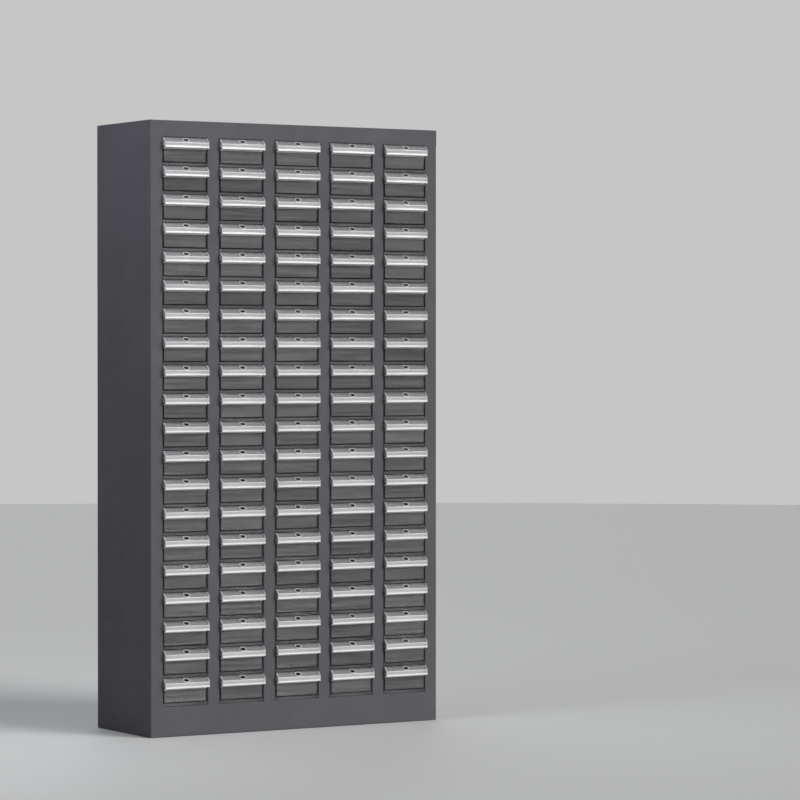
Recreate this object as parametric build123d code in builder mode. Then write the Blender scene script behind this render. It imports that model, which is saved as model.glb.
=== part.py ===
from build123d import *
from math import cos, atan2
import os

# A free-standing steel parts cabinet: a body folded from sheet, with upright bays
# of clear plastic drawers that slide on steel angles. X runs across the cabinet,
# its front faces -Y and Z is up. The origin is on the floor under the middle of
# the whole cabinet, drawer lips and rivet heads included. Sizes are in mm.

# ---- steel body ----
COLUMNS = 5
ROWS = 20
BAY_WIDTH = 91.2            # clear width between the two walls of a bay
ROW_PITCH = 50.8
STILE_WIDTH = 24.0          # face of the uprights at the two sides
DIVIDER_WIDTH = 24.0        # face of the uprights between two bays
PLINTH_HEIGHT = 54.0
TOP_FASCIA = 30.0
BODY_DEPTH = 210.0
SHEET = 1.0                 # thickness of every steel sheet
BEND = 1.6                  # outer radius of a fold
SEAM = 0.3                  # gap where two sheets butt
FLANGE = 15.0               # folded edges of the outer panels
INNER_FLANGE = 8.0          # folded edges of dividers and bay linings
TOP_RETURN = 12.0           # shelf folded back under the top fascia
SINGLE_ROWS = 6             # rows, counted from the top, kept drawer by drawer

# ---- runners: steel angles on both walls of every bay ----
RUNNER_SHEET = 1.0
RUNNER_LEDGE = 9.0
RUNNER_LEG = 8.0
RUNNER_END_GAP = 3.0        # short of the back panel
RUNNER_CLEARANCE = 0.3      # under the drawer's floor
STOP_CLEARANCE = 0.3        # between the runner's front end and the drawer's skirt

# ---- drawers: clear moulded plastic ----
DRAWER_DEPTH = 196.0        # front face to rear wall
FRONT_PANEL = 2.0           # thickness of the front
FRONT_GAP = 0.8             # beside the front, to the walls of the bay
ROW_GAP = 1.2               # between the fronts of two rows
SKIRT = 5.0                 # the front hangs this far below the floor
DRAWER_WALL = 1.8
DRAWER_FLOOR = 2.0
SIDE_CLEARANCE = 0.6        # between the tub and the runner's leg
RIM_DROP = 1.2              # the tub's rim lies this far below the front's top
RIM_HEIGHT = 2.0            # thickened edge of the rim
RIM_PROUD = 0.5
REAR_RADIUS = 5.0           # upright outer corners at the back of the tub
INNER_RADIUS = 3.0          # upright inner corners
FLOOR_RADIUS = 1.5          # where the inner walls meet the floor

# ---- pull lip on each drawer's front ----
LIP_REACH = 9.0             # in front of the drawer's front
LIP_DROP = 8.4              # fall of the sloping face
LIP_WALL = 1.8
NOSE_HEIGHT = 9.6           # upright face below the slope
NOSE_BEAD = 2.0             # raised edges of the nose, which frame a label
NOSE_RECESS = 0.6
NOSE_RADIUS = 0.9
CHEEK_WALL = 1.8            # plates that close the two ends of the lip
CHEEK_RISE = 1.2            # cheeks stand this far above the slope
CHEEK_SLANT = 4.0           # rise of the cheek's lower edge towards the front
HOLE_WIDTH = 10.5           # long hole in the middle of the slope
HOLE_HEIGHT = 7.0
COLLAR_WALL = 1.8           # raised collar round that hole
COLLAR_RISE = 0.6
RIB_HEIGHT = 2.3            # rib across the front, level with the nose's lower edge
RIB_PROUD = 1.2

# ---- blind rivets of the back panel ----
RIVET_RADIUS = 2.0
RIVET_FIT = 0.05            # hole radius over shank radius
RIVET_HEAD_RADIUS = 4.0
RIVET_HEAD = 1.2
RIVET_TAIL_RADIUS = 2.8
RIVET_TAIL = 3.0
SIDE_RIVETS = 8
EDGE_RIVETS = 5             # along the top, and again along the plinth
RIVET_MARGIN = 60.0         # from the first rivet of a row to the panel's corner

# ---- places that follow from those sizes ----
HALF_WIDTH = STILE_WIDTH + (COLUMNS * BAY_WIDTH + (COLUMNS - 1) * DIVIDER_WIDTH) / 2
HEIGHT = PLINTH_HEIGHT + ROWS * ROW_PITCH + TOP_FASCIA
FRONT = (LIP_REACH - BODY_DEPTH - RIVET_HEAD) / 2
BACK = FRONT + BODY_DEPTH
BACK_INSIDE = BACK - 2 * SHEET
UPRIGHT_TOP = HEIGHT - TOP_FASCIA - SEAM
COLUMN_PITCH = BAY_WIDTH + DIVIDER_WIDTH

FRONT_WIDTH = BAY_WIDTH - 2 * FRONT_GAP
FRONT_BOTTOM = ROW_GAP / 2
FRONT_TOP = ROW_PITCH - ROW_GAP / 2
FLOOR_LEVEL = FRONT_BOTTOM + SKIRT
RIM_LEVEL = FRONT_TOP - RIM_DROP
TUB_WIDTH = BAY_WIDTH - 2 * (RUNNER_SHEET + SIDE_CLEARANCE)
NOSE_TOP = FRONT_TOP - LIP_DROP
NOSE_BOTTOM = NOSE_TOP - NOSE_HEIGHT


def bay_centre(column):
    """X of the middle of a bay, columns counted from the left."""
    return (column - (COLUMNS - 1) / 2) * COLUMN_PITCH


def row_level(row):
    """Z of the foot of a row, rows counted from the top."""
    return PLINTH_HEIGHT + (ROWS - 1 - row) * ROW_PITCH


def folded_sheet(plane, corners, side):
    """Section of a folded sheet: its outer face runs through these corners."""
    with BuildSketch(plane, mode=Mode.PRIVATE) as section:
        with BuildLine():
            FilletPolyline(*corners, radius=BEND)
            offset(amount=SHEET, side=side)
        make_face()
    return section.sketch


def rivet_holes(spots, y):
    """Bodies of the holes, two sheets deep, behind the given (x, z) spots."""
    with BuildPart(mode=Mode.PRIVATE) as holes:
        with BuildSketch(Plane.XZ.offset(-y)):
            with Locations(*spots):
                Circle(RIVET_RADIUS + RIVET_FIT)
        extrude(amount=2 * SHEET)
    return holes.part


def copies(part, spots):
    """Like pieces that share one node: a copy of the part at each spot."""
    return Compound([part.moved(Location(spot)).solid() for spot in spots])


def finish(part, name):
    """Names a finished piece and writes it."""
    part.label = name
    export_step(part, f"parts/{name}.step")


def evenly(first, last, count):
    """Evenly spaced places from the first to the last."""
    return [first + (last - first) * i / (count - 1) for i in range(count)]


os.makedirs("parts", exist_ok=True)

# ---- where the back panel is riveted ----
side_rivet_x = HALF_WIDTH - FLANGE / 2
side_rivets = [
    (x, z)
    for x in (-side_rivet_x, side_rivet_x)
    for z in evenly(RIVET_MARGIN, HEIGHT - RIVET_MARGIN, SIDE_RIVETS)
]
edge_rivet_x = evenly(RIVET_MARGIN - HALF_WIDTH, HALF_WIDTH - RIVET_MARGIN, EDGE_RIVETS)
top_rivets = [(x, HEIGHT - FLANGE / 2) for x in edge_rivet_x]
plinth_rivets = [(x, PLINTH_HEIGHT - FLANGE / 2) for x in edge_rivet_x]

# ---- top panel: plate, front fascia with its return, rear and side flanges ----
with BuildPart() as top_panel:
    top_section = folded_sheet(
        Plane.YZ,
        [
            (FRONT + TOP_RETURN, HEIGHT - TOP_FASCIA),
            (FRONT, HEIGHT - TOP_FASCIA),
            (FRONT, HEIGHT),
            (BACK, HEIGHT),
            (BACK, HEIGHT - FLANGE),
        ],
        Side.RIGHT,
    )
    extrude(top_section, amount=HALF_WIDTH, both=True)
    # behind the fascia the plate fits between the side panels
    with Locations((-HALF_WIDTH, FRONT + SHEET, HEIGHT), (HALF_WIDTH, FRONT + SHEET, HEIGHT)):
        Box(
            2 * SHEET,
            BODY_DEPTH,
            2 * TOP_FASCIA,
            align=(Align.CENTER, Align.MIN, Align.CENTER),
            mode=Mode.SUBTRACT,
        )
    flange_x = HALF_WIDTH - 1.5 * SHEET
    with Locations((-flange_x, FRONT + FLANGE, HEIGHT), (flange_x, FRONT + FLANGE, HEIGHT)):
        Box(
            SHEET,
            BODY_DEPTH - 2 * FLANGE,
            FLANGE,
            align=(Align.CENTER, Align.MIN, Align.MAX),
        )
    add(rivet_holes(top_rivets, BACK), mode=Mode.SUBTRACT)
finish(top_panel.part, "top_panel")

# ---- side panels: wall, front stile, rear flange and a flange along the floor ----
with BuildPart() as side_panel_left:
    side_section = folded_sheet(
        Plane.XY,
        [
            (STILE_WIDTH - HALF_WIDTH, FRONT),
            (-HALF_WIDTH, FRONT),
            (-HALF_WIDTH, BACK),
            (FLANGE - HALF_WIDTH, BACK),
        ],
        Side.RIGHT,
    )
    extrude(side_section, amount=HEIGHT)
    # the stile stops under the top fascia, and the rear flange under the top's
    with Locations((-HALF_WIDTH, FRONT, HEIGHT)):
        Box(
            STILE_WIDTH,
            BEND,
            TOP_FASCIA + SEAM,
            align=(Align.MIN, Align.MIN, Align.MAX),
            mode=Mode.SUBTRACT,
        )
    with Locations((-HALF_WIDTH, FRONT + SHEET, HEIGHT)):
        Box(
            SHEET,
            BEND - SHEET,
            TOP_FASCIA + SEAM,
            align=(Align.MIN, Align.MIN, Align.MAX),
        )
    with Locations((SHEET - HALF_WIDTH, BACK, HEIGHT)):
        Box(
            FLANGE,
            BEND,
            FLANGE + SEAM,
            align=(Align.MIN, Align.MAX, Align.MAX),
            mode=Mode.SUBTRACT,
        )
    with Locations((-HALF_WIDTH, FRONT + BEND, 0)):
        Box(
            FLANGE,
            BODY_DEPTH - 2 * SHEET - BEND,
            SHEET,
            align=(Align.MIN, Align.MIN, Align.MIN),
        )
    add(rivet_holes(side_rivets, BACK), mode=Mode.SUBTRACT)
finish(side_panel_left.part, "side_panel_left")

with BuildPart() as side_panel_right:
    mirror(side_panel_left.part, about=Plane.YZ)
finish(side_panel_right.part, "side_panel_right")

# ---- bay linings: the walls of the outermost bays, behind the stiles ----
lining_x = HALF_WIDTH - STILE_WIDTH
with BuildPart() as lining_left:
    lining_section = folded_sheet(
        Plane.XY.offset(SHEET),
        [
            (-lining_x - INNER_FLANGE, FRONT + SHEET),
            (-lining_x, FRONT + SHEET),
            (-lining_x, BACK_INSIDE),
            (-lining_x - INNER_FLANGE, BACK_INSIDE),
        ],
        Side.LEFT,
    )
    extrude(lining_section, amount=UPRIGHT_TOP - SHEET)
finish(lining_left.part, "bay_lining_left")

with BuildPart() as lining_right:
    mirror(lining_left.part, about=Plane.YZ)
finish(lining_right.part, "bay_lining_right")

# ---- plinth: front fascia, bay floor, and flanges under its four edges ----
with BuildPart() as plinth:
    plinth_half = lining_x - SEAM
    plinth_section = folded_sheet(
        Plane.YZ,
        [
            (FRONT + FLANGE, 0),
            (FRONT, 0),
            (FRONT, PLINTH_HEIGHT),
            (BACK_INSIDE, PLINTH_HEIGHT),
            (BACK_INSIDE, PLINTH_HEIGHT - FLANGE),
        ],
        Side.RIGHT,
    )
    extrude(plinth_section, amount=plinth_half, both=True)
    end_x = plinth_half - SHEET / 2
    with Locations((-end_x, FRONT + FLANGE, PLINTH_HEIGHT), (end_x, FRONT + FLANGE, PLINTH_HEIGHT)):
        Box(
            SHEET,
            BODY_DEPTH - 2 * FLANGE,
            FLANGE,
            align=(Align.CENTER, Align.MIN, Align.MAX),
        )
    add(rivet_holes(plinth_rivets, BACK - SHEET), mode=Mode.SUBTRACT)
finish(plinth.part, "plinth")

# ---- back panel: one flat sheet inside the rear flanges, clear of their folds ----
with BuildPart() as back_panel:
    with Locations((0, BACK_INSIDE, 0)):
        Box(
            2 * (HALF_WIDTH - BEND),
            SHEET,
            HEIGHT - BEND,
            align=(Align.CENTER, Align.MIN, Align.MIN),
        )
    add(rivet_holes(side_rivets + top_rivets, BACK), mode=Mode.SUBTRACT)
    add(rivet_holes(plinth_rivets, BACK - SHEET), mode=Mode.SUBTRACT)
finish(back_panel.part, "back_panel")

# ---- dividers: channels from the front to the back panel, between two bays ----
for number in range(1, COLUMNS):
    left_x = bay_centre(number - 1) + BAY_WIDTH / 2
    right_x = left_x + DIVIDER_WIDTH
    with BuildPart() as divider:
        divider_section = folded_sheet(
            Plane.XY.offset(PLINTH_HEIGHT),
            [
                (left_x + INNER_FLANGE, BACK_INSIDE),
                (left_x, BACK_INSIDE),
                (left_x, FRONT),
                (right_x, FRONT),
                (right_x, BACK_INSIDE),
                (right_x - INNER_FLANGE, BACK_INSIDE),
            ],
            Side.LEFT,
        )
        extrude(divider_section, amount=UPRIGHT_TOP - PLINTH_HEIGHT)
    finish(divider.part, f"divider_{number}")

# ---- runners: one angle on each wall of a bay under every drawer ----
runner_front = FRONT + FRONT_PANEL + STOP_CLEARANCE
runner_length = BACK_INSIDE - RUNNER_END_GAP - runner_front
runner_underside = FLOOR_LEVEL - RUNNER_CLEARANCE - RUNNER_SHEET
for name, inward in (("runners_left", 1), ("runners_right", -1)):
    with BuildPart() as runner:
        with BuildSketch(Plane.XZ):
            with BuildLine():
                Polyline(
                    (0, 0),
                    (inward * RUNNER_LEDGE, 0),
                    (inward * RUNNER_LEDGE, RUNNER_SHEET),
                    (inward * RUNNER_SHEET, RUNNER_SHEET),
                    (inward * RUNNER_SHEET, RUNNER_LEG),
                    (0, RUNNER_LEG),
                    close=True,
                )
            make_face()
        extrude(amount=-runner_length)
    spots = [
        (
            bay_centre(column) - inward * BAY_WIDTH / 2,
            runner_front,
            row_level(row) + runner_underside,
        )
        for column in range(COLUMNS)
        for row in range(ROWS)
    ]
    finish(copies(runner.part, spots), name)

# ---- back rivets ----
with BuildPart() as rivet:
    with BuildSketch(Plane.XY):
        with BuildLine():
            Polyline(
                (0, RIVET_HEAD),
                (0, -2 * SHEET - RIVET_TAIL),
                (RIVET_TAIL_RADIUS, -2 * SHEET - RIVET_TAIL),
                (RIVET_TAIL_RADIUS, -2 * SHEET),
                (RIVET_RADIUS, -2 * SHEET),
                (RIVET_RADIUS, 0),
                (RIVET_HEAD_RADIUS, 0),
            )
            TangentArc((0, RIVET_HEAD), (RIVET_HEAD_RADIUS, 0), tangent=(1, 0))
        make_face()
    revolve(axis=Axis.Y)

rivet_spots = [(x, BACK, z) for x, z in side_rivets + top_rivets]
rivet_spots += [(x, BACK - SHEET, z) for x, z in plinth_rivets]
finish(copies(rivet.part, rivet_spots), "back_rivets")

# ---- one drawer, with its front at Y 0 and the foot of its row at Z 0 ----
with BuildPart() as drawer:
    # the tub and its thickened rim
    with BuildSketch(Plane.XY.offset(FLOOR_LEVEL)):
        Rectangle(TUB_WIDTH, DRAWER_DEPTH, align=(Align.CENTER, Align.MIN))
    extrude(amount=RIM_LEVEL - FLOOR_LEVEL)
    rear_corners = drawer.edges().filter_by(Axis.Z).group_by(Axis.Y)[-1]
    fillet(rear_corners, radius=REAR_RADIUS)
    with BuildSketch(Plane.XY.offset(RIM_LEVEL - RIM_HEIGHT)) as rim:
        with Locations((0, FRONT_PANEL)):
            Rectangle(
                TUB_WIDTH + 2 * RIM_PROUD,
                DRAWER_DEPTH - FRONT_PANEL + RIM_PROUD,
                align=(Align.CENTER, Align.MIN),
            )
        fillet(rim.vertices().group_by(Axis.Y)[-1], radius=REAR_RADIUS + RIM_PROUD)
    extrude(amount=RIM_HEIGHT)
    with BuildSketch(Plane.XY.offset(FLOOR_LEVEL + DRAWER_FLOOR)):
        inner_depth = DRAWER_DEPTH - FRONT_PANEL - DRAWER_WALL
        with Locations((0, FRONT_PANEL + inner_depth / 2)):
            RectangleRounded(TUB_WIDTH - 2 * DRAWER_WALL, inner_depth, INNER_RADIUS)
    extrude(amount=RIM_LEVEL - FLOOR_LEVEL, mode=Mode.SUBTRACT)
    inner_floor = drawer.faces().filter_by(Axis.Z).group_by(Axis.Z)[1].sort_by(SortBy.AREA)[-1]
    fillet(inner_floor.edges(), radius=FLOOR_RADIUS)

    # the front, with its skirt below the floor and the rib across it
    with Locations((0, 0, FRONT_BOTTOM)):
        Box(
            FRONT_WIDTH,
            FRONT_PANEL,
            FRONT_TOP - FRONT_BOTTOM,
            align=(Align.CENTER, Align.MIN, Align.MIN),
        )
    with Locations((0, 0, NOSE_BOTTOM)):
        Box(
            FRONT_WIDTH - 2 * CHEEK_WALL,
            RIB_PROUD,
            RIB_HEIGHT,
            align=(Align.CENTER, Align.MAX, Align.MAX),
        )

    # the lip: a slope and a nose whose raised edges frame the label
    slope = LIP_DROP / LIP_REACH
    lip_inside = NOSE_RECESS + LIP_WALL - LIP_REACH
    slope_inside = FRONT_TOP - LIP_WALL / cos(atan2(LIP_DROP, LIP_REACH))
    with BuildSketch(Plane.YZ) as lip:
        with BuildLine():
            Polyline(
                (FRONT_PANEL, FRONT_TOP),
                (0, FRONT_TOP),
                (-LIP_REACH, NOSE_TOP),
                (-LIP_REACH, NOSE_TOP - NOSE_BEAD),
                (NOSE_RECESS - LIP_REACH, NOSE_TOP - NOSE_BEAD),
                (NOSE_RECESS - LIP_REACH, NOSE_BOTTOM + NOSE_BEAD),
                (-LIP_REACH, NOSE_BOTTOM + NOSE_BEAD),
                (-LIP_REACH, NOSE_BOTTOM),
                (lip_inside, NOSE_BOTTOM),
                (lip_inside, slope_inside + slope * lip_inside),
                (0, slope_inside),
                (FRONT_PANEL, slope_inside),
                close=True,
            )
        make_face()
        nose_corners = lip.vertices().group_by(Axis.X)[0].sort_by(Axis.Y)
        fillet([nose_corners[0], nose_corners[-1]], radius=NOSE_RADIUS)
    extrude(amount=FRONT_WIDTH / 2, both=True)

    # cheeks at both ends of the lip
    for end in (-1, 1):
        with BuildSketch(Plane.YZ.offset(end * FRONT_WIDTH / 2)):
            with BuildLine():
                Polyline(
                    (FRONT_PANEL, FRONT_TOP),
                    (-CHEEK_RISE, FRONT_TOP),
                    (-LIP_REACH, NOSE_TOP + CHEEK_RISE),
                    (-LIP_REACH, NOSE_BOTTOM),
                    (0, NOSE_BOTTOM + CHEEK_SLANT),
                    (FRONT_PANEL, NOSE_BOTTOM + CHEEK_SLANT),
                    close=True,
                )
            make_face()
        extrude(amount=-end * CHEEK_WALL)

    # the long hole through the slope, with its raised collar
    slope_middle = Plane(
        origin=(0, -LIP_REACH / 2, (FRONT_TOP + NOSE_TOP) / 2),
        x_dir=(1, 0, 0),
        z_dir=(0, -LIP_DROP, LIP_REACH),
    )
    with BuildSketch(slope_middle):
        SlotOverall(HOLE_WIDTH + 2 * COLLAR_WALL, HOLE_HEIGHT + 2 * COLLAR_WALL)
    extrude(amount=COLLAR_RISE)
    with BuildSketch(slope_middle.offset(COLLAR_RISE)):
        SlotOverall(HOLE_WIDTH, HOLE_HEIGHT)
    extrude(amount=-COLLAR_RISE - 2 * LIP_WALL, mode=Mode.SUBTRACT)

# ---- the drawers: the upper rows one by one, the others a row at a time ----
for row in range(ROWS):
    if row < SINGLE_ROWS:
        groups = {f"drawer_row{row + 1}_column{c + 1}": [c] for c in range(COLUMNS)}
    else:
        groups = {f"drawers_row{row + 1}": range(COLUMNS)}
    for name, columns in groups.items():
        spots = [(bay_centre(column), FRONT, row_level(row)) for column in columns]
        finish(copies(drawer.part, spots), name)
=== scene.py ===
import math

import bmesh
import bpy
from mathutils import Matrix, Vector


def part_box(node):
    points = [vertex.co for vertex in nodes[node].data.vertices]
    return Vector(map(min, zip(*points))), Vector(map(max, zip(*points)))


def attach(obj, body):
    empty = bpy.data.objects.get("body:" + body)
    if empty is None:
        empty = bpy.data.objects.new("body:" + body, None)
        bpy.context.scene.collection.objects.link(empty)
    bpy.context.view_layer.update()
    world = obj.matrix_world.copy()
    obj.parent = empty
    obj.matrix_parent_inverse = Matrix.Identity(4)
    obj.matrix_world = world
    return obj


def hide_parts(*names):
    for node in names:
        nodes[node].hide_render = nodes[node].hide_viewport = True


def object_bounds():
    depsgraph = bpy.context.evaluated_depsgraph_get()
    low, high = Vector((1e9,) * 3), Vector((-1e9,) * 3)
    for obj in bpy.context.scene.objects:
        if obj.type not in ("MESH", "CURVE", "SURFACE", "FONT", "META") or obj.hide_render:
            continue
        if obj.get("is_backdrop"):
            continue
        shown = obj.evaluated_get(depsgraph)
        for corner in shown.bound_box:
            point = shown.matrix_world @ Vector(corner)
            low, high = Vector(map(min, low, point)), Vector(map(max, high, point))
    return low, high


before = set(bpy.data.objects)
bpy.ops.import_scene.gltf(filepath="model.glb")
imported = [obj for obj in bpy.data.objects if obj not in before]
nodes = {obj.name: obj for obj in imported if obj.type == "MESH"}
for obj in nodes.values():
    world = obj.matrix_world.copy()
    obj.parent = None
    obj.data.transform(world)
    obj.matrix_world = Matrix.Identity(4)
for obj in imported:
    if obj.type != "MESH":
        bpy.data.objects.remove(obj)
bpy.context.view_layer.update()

scene = bpy.context.scene
MM = 0.001


# ---- Side panels ----
# Two walls folded from 1 mm sheet steel, each in one piece with its front stile, rear
# flange and floor flange. Powder-coated dark grey: a satin skin with a fine orange peel
# that runs a little thicker and shinier in patches.
class Graph:
    """A material's node tree: adds nodes and joins their sockets."""

    def __init__(self, name):
        self.material = bpy.data.materials.new(name)
        self.material.use_nodes = True
        self.tree = self.material.node_tree
        self.tree.nodes.clear()
        self.output = self.add("ShaderNodeOutputMaterial")

    def add(self, kind, inputs=None, **settings):
        """A new node; an input is a value, or a socket that it is joined to."""
        node = self.tree.nodes.new(kind)
        for key, value in settings.items():
            setattr(node, key, value)
        for key, value in (inputs or {}).items():
            if isinstance(value, bpy.types.NodeSocket):
                self.tree.links.new(value, node.inputs[key])
            else:
                node.inputs[key].default_value = value
        return node

    def place(self):
        """Object coordinates, in metres."""
        return self.add("ShaderNodeTexCoord").outputs["Object"]

    def noise(self, where, scale, detail=2.0, roughness=0.5):
        """Cloudy noise between 0 and 1; the scale is in waves per metre."""
        node = self.add(
            "ShaderNodeTexNoise",
            {"Vector": where, "Scale": scale, "Detail": detail, "Roughness": roughness},
        )
        return node.outputs["Fac"]

    def calc(self, operation, *terms, **settings):
        """Arithmetic on values and sockets."""
        node = self.add(
            "ShaderNodeMath", dict(enumerate(terms)), operation=operation, **settings
        )
        return node.outputs[0]

    def spread(self, value, low, high, start=0.3, end=0.7):
        """Maps start..end of a value to low..high."""
        node = self.add(
            "ShaderNodeMapRange",
            {
                "Value": value,
                "From Min": start,
                "From Max": end,
                "To Min": low,
                "To Max": high,
            },
        )
        return node.outputs["Result"]

    def tone(self, value, low, high):
        """Blends two colours by a value."""
        node = self.add("ShaderNodeMix", data_type="RGBA")
        self.tree.links.new(value, node.inputs["Factor"])
        node.inputs[6].default_value = (*low, 1.0)
        node.inputs[7].default_value = (*high, 1.0)
        return node.outputs[2]

    def bump(self, height, strength, distance):
        """A normal tilted by a height map."""
        node = self.add(
            "ShaderNodeBump",
            {"Height": height, "Strength": strength, "Distance": distance},
        )
        return node.outputs["Normal"]

    def surface(self, shader):
        """Joins the shader to the output and gives the finished material."""
        self.tree.links.new(shader, self.output.inputs["Surface"])
        return self.material


def powder_coat(name, dark, light, peel):
    """Satin powder coat between two tones of grey, with an orange peel."""
    patch_scale, sheen_scale, peel_scale = 9.0, 40.0, 420.0
    peel_depth = 0.2 * MM
    g = Graph(name)
    where = g.place()
    patches = g.noise(where, patch_scale, 3.0)
    coat = g.add(
        "ShaderNodeBsdfPrincipled",
        {
            "Base Color": g.tone(g.spread(patches, 0.0, 1.0), dark, light),
            "Roughness": g.spread(g.noise(where, sheen_scale), 0.52, 0.64),
            "IOR": 1.4,
            "Normal": g.bump(g.noise(where, peel_scale), peel, peel_depth),
        },
    )
    return g.surface(coat.outputs["BSDF"])


def dress(name, material):
    """Gives a CAD node its finish."""
    mesh = nodes[name].data
    mesh.materials.clear()
    mesh.materials.append(material)


body_paint = powder_coat(
    "body paint", dark=(0.078, 0.076, 0.088), light=(0.089, 0.087, 0.099), peel=0.12
)
dress("side_panel_left", body_paint)
dress("side_panel_right", body_paint)


# ---- Bay linings ----
# Thin folded sheets behind the stiles that close the outermost bays and carry their
# runners. Their coat is the body's grey painted darker: painted shade for the dim inside
# of the bays.
shaded_bay_paint = powder_coat(
    "inner paint", dark=(0.034, 0.034, 0.037), light=(0.046, 0.046, 0.050), peel=0.16
)
dress("bay_lining_left", shaded_bay_paint)
dress("bay_lining_right", shaded_bay_paint)


# ---- Plinth ----
# The lowest sheet: its front is the 54 mm base strip and its top the floor of the bays.
# It slides in between the side panels and is riveted to the back panel.
dress("plinth", body_paint)


# ---- Dividers ----
# Four channels bent from one strip each. Their webs are the 24 mm uprights that show
# between the bays, and their flanks the bay walls, which take the linings' darker
# paint: painted shade.
DIVIDERS = [f"divider_{number}" for number in range(1, 5)]
FLANK_START = 2 * MM
for divider in DIVIDERS:
    dress(divider, body_paint)
    mesh = nodes[divider].data
    mesh.materials.append(shaded_bay_paint)
    flank_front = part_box(divider)[0].y + FLANK_START
    # the flanks get the darker paint, painted shade
    for face in mesh.polygons:
        if face.center.y > flank_front:
            face.material_index = 1


# ---- Back panel ----
# One flat sheet, set inside the rear flanges of the side and top panels and riveted to
# them. It takes the linings' darker paint, painted shade for the inside of the bays.
dress("back_panel", shaded_bay_paint)


# ---- Back rivets ----
# Blind rivets of drawn aluminium, left bare: domed heads with a dull skin that has fine
# scratches from the die.
g = Graph("rivet aluminium")
where = g.place()
alloy_scale, sheen_scale, scratch_scale = 300.0, 700.0, 1500.0
head = g.add(
    "ShaderNodeBsdfPrincipled",
    {
        "Base Color": g.tone(
            g.noise(where, alloy_scale), (0.50, 0.50, 0.51), (0.64, 0.64, 0.65)
        ),
        "Metallic": 1.0,
        "Roughness": g.spread(g.noise(where, sheen_scale), 0.3, 0.48),
        "Normal": g.bump(g.noise(where, scratch_scale), 0.1, 0.1 * MM),
    },
)
dress("back_rivets", g.surface(head.outputs["BSDF"]))


# ---- Runners ----
# Steel angles that run from the drawer fronts nearly to the back panel, two under every
# drawer, spot-welded to the bay walls before coating.
# Their paint is the linings' darker grey: painted shade.
dress("runners_left", shaded_bay_paint)
dress("runners_right", shaded_bay_paint)


# ---- Top panel ----
# The lid: plate, front fascia and rear flange folded from one sheet, dropped over the
# side panels last.
dress("top_panel", body_paint)


# ---- Seams of the front frame ----
# The joints of fascia, stiles, dividers and plinth are welded, filled and ground flush
# before coating, so that the frame reads as one face.
SHEET = 1.0 * MM
BEND = 1.6 * MM
SEAM = 0.3 * MM
STILE = 24.0 * MM
FOLD_STEPS = 5
FOLD_STEP = math.radians(12)
frame_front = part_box("side_panel_left")[0].y
half_width = -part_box("side_panel_left")[0].x
upright_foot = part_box("divider_1")[0].z
upright_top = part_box("divider_1")[1].z


def seam_fill(bm, section, x_low, x_high):
    """A prism along X with a section in YZ."""
    ends = [[bm.verts.new((x, y, z)) for y, z in section] for x in (x_low, x_high)]
    bm.faces.new(ends[0])
    bm.faces.new(list(reversed(ends[1])))
    count = len(section)
    for i in range(count):
        j = (i + 1) % count
        bm.faces.new((ends[0][j], ends[0][i], ends[1][i], ends[1][j]))


def rounded_gap(level, up):
    """What lies between an upright's flat end and the rounded fold beyond it: the fold
    is above for up = 1, where a seam parts them, and below for up = -1."""
    fold = level + max(up, 0) * SEAM
    section = [(frame_front, level)]
    for step in range(FOLD_STEPS):
        turn = FOLD_STEP * step
        depth = BEND - BEND * math.cos(turn)
        reach = BEND - BEND * math.sin(turn)
        section.append((frame_front + depth, fold + up * reach))
    section.append((frame_front + SHEET, level))
    return section


bm = bmesh.new()
stiles = [
    (-half_width + BEND, -half_width + STILE),
    (half_width - STILE, half_width - BEND),
]
webs = []
for divider in DIVIDERS:
    low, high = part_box(divider)
    webs.append((low.x + BEND, high.x - BEND))
for left, right in stiles + webs:
    seam_fill(bm, rounded_gap(upright_top, 1), left, right)
for left, right in webs:
    seam_fill(bm, rounded_gap(upright_foot, -1), left, right)
for side in (-1, 1):
    edge = side * (half_width - STILE)
    plinth_end = [
        (frame_front, 0),
        (frame_front, upright_foot),
        (frame_front + SHEET, upright_foot),
        (frame_front + SHEET, 0),
    ]
    seam_fill(bm, plinth_end, *sorted((edge, edge - side * SEAM)))
bmesh.ops.recalc_face_normals(bm, faces=bm.faces)
mesh = bpy.data.meshes.new("front frame seams")
bm.to_mesh(mesh)
bm.free()
mesh.materials.append(body_paint)
seams = bpy.data.objects.new("front_frame_seams", mesh)
scene.collection.objects.link(seams)
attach(seams, "cabinet")


# ---- Drawers ----
# One injection moulding each, of clear polystyrene: a thin tub with a thickened rim and
# a front with the pull lip. Every moulded edge is slightly rounded and painted near white
# as a painted highlight, the lip and above all its nose are painted pale as painted
# highlight, and some bands are painted near black as painted shade.
ROWS = 20
COLUMNS = 5
SINGLE_ROWS = 6
FRONT_TOP = 49.6 * MM
TUB_HALF = 44.0 * MM
WALL_THICKNESS = 1.8 * MM
FLOOR_LEVEL = 5.0 * MM
FLOOR_THICKNESS = 2.0 * MM
LIP_REACH = 9.0 * MM
NOSE_FOOT = 31.6 * MM
NOSE_TOP = 41.2 * MM
RIM_FOOT = 46.4 * MM
RIB_FOOT = 29.3 * MM
RIB_PROUD = 1.2 * MM
CAD_BEAD = 2.0 * MM
BEAD = 3.0 * MM
EDGE_RADIUS = 0.25 * MM
first_low, first_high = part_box("drawer_row1_column1")
COLUMN_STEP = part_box("drawer_row1_column2")[0].x - first_low.x
ROW_STEP = first_low.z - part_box("drawer_row2_column1")[0].z
drawer_origin = Vector(
    ((first_low.x + first_high.x) / 2, first_low.y + LIP_REACH, first_low.z)
)


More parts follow.
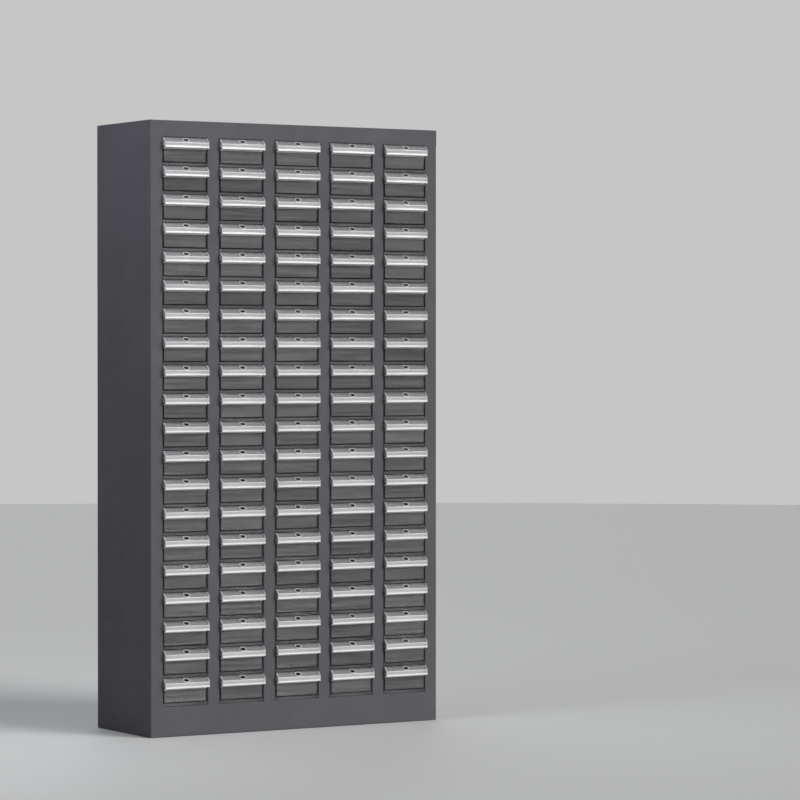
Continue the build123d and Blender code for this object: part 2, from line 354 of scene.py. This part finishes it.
def clear_plastic(name, haze_and_highlight, body, gloss, wave, streak, tint=0.97):
    """Clear plastic with a share of pale skin, part haze and part painted highlight, more
    of it at a glancing view as a painted highlight. Faint streaks of painted reflection
    run across it, and each drawer is a little clearer or cloudier than the next."""
    ripple_scale, ripple_depth = 60.0, 0.6 * MM
    streak_scale = (8.0, 8.0, 220.0)
    cloud_scale, sheen_scale = 25.0, 90.0
    glancing = 0.3
    farthest_shift = 40.0
    g = Graph(name)

    # noise that starts elsewhere on every piece
    chance = g.add("ShaderNodeObjectInfo").outputs["Random"]
    own = g.calc("MULTIPLY", chance, farthest_shift)
    shift = g.add("ShaderNodeVectorMath", {0: g.place(), 1: own}, operation="ADD")
    where = shift.outputs[0]
    normal = g.bump(g.noise(where, ripple_scale, 1.0), wave, ripple_depth)
    # faint horizontal streaks of painted reflection
    streak_mapping = g.add("ShaderNodeMapping", {"Vector": where, "Scale": streak_scale})
    reflection_streaks = g.noise(streak_mapping.outputs["Vector"], 1.0, 3.0, 0.6)

    # one number for each drawer, also where five of them are one piece
    across = g.add("ShaderNodeSeparateXYZ", {0: g.place()}).outputs["X"]
    column = g.calc("FLOOR", g.calc("MULTIPLY_ADD", across, 1 / COLUMN_STEP, 0.5))
    seed = g.calc("ADD", column, own)
    lot = g.add("ShaderNodeTexWhiteNoise", {"W": seed}, noise_dimensions="1D")

    paler = tuple(c * 1.06 for c in body)
    skin = g.add(
        "ShaderNodeBsdfPrincipled",
        {
            "Base Color": g.tone(g.noise(where, cloud_scale), body, paler),
            "Roughness": g.spread(g.noise(where, sheen_scale), gloss, gloss + 0.08),
            "IOR": 1.58,
            "Normal": normal,
        },
    )
    through = g.add(
        "ShaderNodeBsdfTransparent", {"Color": (tint, tint, tint * 1.01, 1.0)}
    )
    turned = g.add("ShaderNodeLayerWeight", {"Blend": 0.35, "Normal": normal})
    share = g.spread(
        turned.outputs["Facing"], haze_and_highlight, min(1.0, haze_and_highlight + glancing), 0.3, 1.0
    )
    marked = g.calc("MULTIPLY", share, g.spread(reflection_streaks, 1.0 - streak, 1.0 + streak))
    cloudy = g.spread(
        lot.outputs["Value"], 1.0 - streak / 2, 1.0 + streak / 2, 0.0, 1.0
    )
    uneven = g.calc("MULTIPLY", marked, cloudy, use_clamp=True)
    mix = g.add(
        "ShaderNodeMixShader", {0: uneven, 1: through.outputs[0], 2: skin.outputs[0]}
    )
    return g.surface(mix.outputs[0])


PLASTICS = (
    clear_plastic(
        "drawer wall",
        haze_and_highlight=0.10,
        body=(0.48, 0.48, 0.50),
        gloss=0.12,
        wave=0.06,
        streak=0.3,
    ),
    clear_plastic(
        "drawer front",
        haze_and_highlight=0.15,
        body=(0.60, 0.60, 0.615),
        gloss=0.1,
        wave=0.15,
        streak=0.35,
    ),
    # painted near black: on the ends of the tub's walls and floor seen through the front
    # it stands in for light that enters there and comes out elsewhere, and on the front in
    # the recess under the lip it is painted shade
    clear_plastic(
        "drawer wall end on",
        haze_and_highlight=0.3,
        body=(0.02, 0.02, 0.022),
        gloss=0.1,
        wave=0.1,
        streak=0.1,
        tint=0.15,
    ),
    # the lip's raised share of pale skin is a painted highlight
    clear_plastic(
        "drawer lip",
        haze_and_highlight=0.29,
        body=(0.62, 0.62, 0.63),
        gloss=0.24,
        wave=0.07,
        streak=0.12,
    ),
    # the nose is painted pale, a painted highlight for the light it gathers
    clear_plastic(
        "drawer nose",
        haze_and_highlight=0.62,
        body=(0.76, 0.76, 0.77),
        gloss=0.12,
        wave=0.15,
        streak=0.12,
    ),
    # the rounded edges are painted near white: painted highlight
    clear_plastic(
        "drawer edge",
        haze_and_highlight=1.0,
        body=(0.90, 0.90, 0.91),
        gloss=0.08,
        wave=0.05,
        streak=0.02,
    ),
)
WALL, FRONT, PAINTED_DARK, LIP, NOSE, EDGE = range(len(PLASTICS))

NEAR = 0.1 * MM
LIP_SKIN = 0.3 * MM
FRONT_SKIN = 0.4 * MM
NOSE_SKIN = 1.0 * MM
NOSE_BACK = 1.5 * MM
WELD = 0.01 * MM


def drawer_region(middle):
    """The plastic of a face, from its middle; Z runs from the foot of the front and Y
    from its outer face."""
    if middle.y > FRONT_SKIN:
        return NOSE if middle.z > RIM_FOOT - NEAR else WALL
    if middle.y > -NEAR:
        # in the recess under the lip the front is painted near black: painted shade
        if middle.z > RIB_FOOT:
            return PAINTED_DARK
        # the ends of the tub's walls and floor are painted near black as well
        if abs(middle.x) > TUB_HALF - WALL_THICKNESS and middle.z > FLOOR_LEVEL:
            return PAINTED_DARK
        if FLOOR_LEVEL < middle.z < FLOOR_LEVEL + FLOOR_THICKNESS:
            return PAINTED_DARK
        # the skirt below the floor takes the darker wall plastic: painted shade
        return FRONT if middle.z > FLOOR_LEVEL else WALL
    if middle.y < FRONT_SKIN - LIP_REACH:
        return NOSE if NOSE_FOOT + BEAD < middle.z < NOSE_TOP - BEAD else EDGE
    if middle.y > -LIP_SKIN - RIB_PROUD and middle.z < NOSE_FOOT:
        return NOSE
    slope_fall = FRONT_TOP - NOSE_TOP
    above_slope = (middle.z - FRONT_TOP) * LIP_REACH - middle.y * slope_fall
    if above_slope > LIP_SKIN * math.hypot(LIP_REACH, slope_fall):
        return NOSE
    if middle.y < NOSE_BACK - LIP_REACH and middle.z < NOSE_TOP - BEAD:
        return NOSE
    return LIP


def widen_beads(bm):
    """Brings the inner edges of the nose's two raised beads towards each other."""
    for vert in bm.verts:
        if vert.co.y < NOSE_SKIN - LIP_REACH:
            if abs(vert.co.z - NOSE_FOOT - CAD_BEAD) < NEAR:
                vert.co.z = NOSE_FOOT + BEAD
            if abs(vert.co.z - NOSE_TOP + CAD_BEAD) < NEAR:
                vert.co.z = NOSE_TOP - BEAD


def round_edges(bm):
    """Rounds every edge that turns sharply, and marks the new faces as EDGE."""
    flat, sharp = math.radians(1), math.radians(35)
    bmesh.ops.dissolve_limit(bm, angle_limit=flat, verts=bm.verts, edges=bm.edges)
    corners = [
        e for e in bm.edges if len(e.link_faces) == 2 and e.calc_face_angle(0) > sharp
    ]
    bmesh.ops.bevel(
        bm,
        geom=corners,
        offset=EDGE_RADIUS,
        segments=2,
        affect="EDGES",
        profile=0.5,
        clamp_overlap=True,
        material=EDGE,
        harden_normals=False,
    )


def score_front(bm):
    """Cuts the outer face of the front along the tub's floor and walls behind it."""
    cuts = [
        ((0, 0, 1), FLOOR_LEVEL),
        ((0, 0, 1), FLOOR_LEVEL + FLOOR_THICKNESS),
        ((1, 0, 0), WALL_THICKNESS - TUB_HALF),
        ((1, 0, 0), TUB_HALF - WALL_THICKNESS),
    ]
    for normal, place in cuts:
        outer = [
            f
            for f in bm.faces
            if f.normal.y < -0.99 and abs(f.calc_center_median().y) < NEAR
        ]
        edges = dict.fromkeys(e for f in outer for e in f.edges)
        verts = dict.fromkeys(v for f in outer for v in f.verts)
        bmesh.ops.bisect_plane(
            bm,
            geom=[*outer, *edges, *verts],
            dist=WELD,
            plane_co=Vector(normal) * place,
            plane_no=normal,
        )


def drawer_mesh():
    """The drawer with rounded edges, about the middle of its front's foot."""
    mesh = nodes["drawer_row1_column1"].data.copy()
    mesh.name = "drawer"
    mesh.transform(Matrix.Translation(-drawer_origin))
    mesh.materials.clear()
    for material in PLASTICS:
        mesh.materials.append(material)
    bm = bmesh.new()
    bm.from_mesh(mesh)
    for face in bm.faces:
        face.material_index = WALL
    bmesh.ops.remove_doubles(bm, verts=bm.verts, dist=WELD)
    widen_beads(bm)
    round_edges(bm)
    score_front(bm)
    for face in bm.faces:
        middle = face.calc_center_median()
        region = drawer_region(middle)
        rounded = face.material_index == EDGE
        if not rounded:
            face.material_index = region
        elif middle.y > FRONT_SKIN:
            face.material_index = NOSE if region == NOSE else LIP
        elif middle.z < RIB_FOOT - 2 * EDGE_RADIUS:
            face.material_index = LIP
        face.smooth = True
    bm.to_mesh(mesh)
    bm.free()
    return mesh


def drawer_row_mesh(drawer):
    """Five drawers side by side, for the rows that slide together."""
    bm = bmesh.new()
    for column in range(COLUMNS):
        start = len(bm.verts)
        bm.from_mesh(drawer)
        bm.verts.ensure_lookup_table()
        aside = (column * COLUMN_STEP, 0, 0)
        bmesh.ops.translate(bm, vec=aside, verts=bm.verts[start:])
    mesh = bpy.data.meshes.new("drawer row")
    bm.to_mesh(mesh)
    bm.free()
    for material in PLASTICS:
        mesh.materials.append(material)
    return mesh


def put_drawers(mesh, name, column, row, node):
    """One object that stands for a CAD node and slides with it."""
    piece = bpy.data.objects.new(name, mesh)
    scene.collection.objects.link(piece)
    piece.location = drawer_origin + Vector((column * COLUMN_STEP, 0, -row * ROW_STEP))
    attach(piece, node)
    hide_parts(node)


drawer = drawer_mesh()
drawer_row = drawer_row_mesh(drawer)
for row in range(ROWS):
    if row < SINGLE_ROWS:
        for column in range(COLUMNS):
            place = f"row{row + 1}_column{column + 1}"
            put_drawers(drawer, f"bin_{place}", column, row, f"drawer_{place}")
    else:
        put_drawers(drawer_row, f"bins_row{row + 1}", 0, row, f"drawers_row{row + 1}")


# ---- Floor, backdrop, light and camera ----
# Not part of the cabinet: a pale room with a soft key from the front right and above, a
# cool fill that grazes the upper end of the left wall, and a faint light from behind.
FLOOR_SIZE = 30.0
FLOOR_SINK = 0.5 * MM
BACKDROP_RADIUS = 9.5
BACKDROP_HEIGHT = 16.0
BACKDROP_FOOT = -0.1
BACKDROP_GREY = 0.565

bpy.ops.mesh.primitive_plane_add(size=FLOOR_SIZE, location=(0, 0, -FLOOR_SINK))
floor = bpy.context.object
floor.name = "floor"
g = Graph("floor")
matt = g.add(
    "ShaderNodeBsdfPrincipled", {"Base Color": (0.88, 0.88, 0.87, 1.0), "Roughness": 0.6}
)
floor.data.materials.append(g.surface(matt.outputs["BSDF"]))
floor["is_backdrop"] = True

bpy.ops.mesh.primitive_cylinder_add(
    vertices=96,
    radius=BACKDROP_RADIUS,
    depth=BACKDROP_HEIGHT,
    location=(0, 0, BACKDROP_FOOT + BACKDROP_HEIGHT / 2),
    end_fill_type="NOTHING",
)
backdrop = bpy.context.object
backdrop.name = "backdrop"
g = Graph("backdrop")
grey = (BACKDROP_GREY, BACKDROP_GREY, BACKDROP_GREY, 1.0)
wall_glow = g.add("ShaderNodeEmission", {"Color": grey, "Strength": 1.0})
backdrop.data.materials.append(g.surface(wall_glow.outputs[0]))
backdrop.visible_shadow = False
backdrop.visible_diffuse = False
backdrop.visible_glossy = False
backdrop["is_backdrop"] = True

world = bpy.data.worlds.new("room")
scene.world = world
world.use_nodes = True
sky = world.node_tree.nodes["Background"]
sky.inputs["Color"].default_value = (0.92, 0.95, 1.0, 1.0)
sky.inputs["Strength"].default_value = 0.155


def put_in_scene(data, direction):
    """An object for a light or the camera, turned to look along a direction."""
    thing = bpy.data.objects.new(data.name, data)
    thing.rotation_euler = Vector(direction).to_track_quat("-Z", "Y").to_euler()
    scene.collection.objects.link(thing)
    return thing


def put_sun(name, energy, spread, colour, direction):
    """A soft light from far away; the spread is its apparent size in degrees."""
    sun = bpy.data.lights.new(name, "SUN")
    sun.energy = energy
    sun.angle = math.radians(spread)
    sun.color = colour
    put_in_scene(sun, direction)


put_sun("key", 2.3, 35, (1.0, 0.985, 0.96), (-0.6, 1.0, -0.5))
put_sun("back light", 0.5, 60, (0.94, 0.97, 1.0), (-0.2, -1.0, -0.45))

fill_place = Vector((-0.95, -0.25, 1.55))
fill_target = Vector((-0.3, -0.02, 1.0))
fill = bpy.data.lights.new("fill", "AREA")
fill.energy = 5.0
fill.size = 0.5
fill.color = (0.88, 0.92, 1.0)
fill_object = put_in_scene(fill, fill_target - fill_place)
fill_object.location = fill_place
fill_object.visible_camera = False

camera = bpy.data.cameras.new("camera")
camera.sensor_width = 36
camera.lens = 158.3
camera.clip_start = 0.1
camera.clip_end = 100
dip = math.radians(0.79)
level = math.cos(dip)
camera_object = put_in_scene(camera, (0.524 * level, 0.852 * level, -math.sin(dip)))
camera_object.location = (-3.197, -5.658, 0.688)
scene.camera = camera_object

scene.cycles.transparent_max_bounces = 32
scene.view_settings.view_transform = "Standard"

low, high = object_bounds()
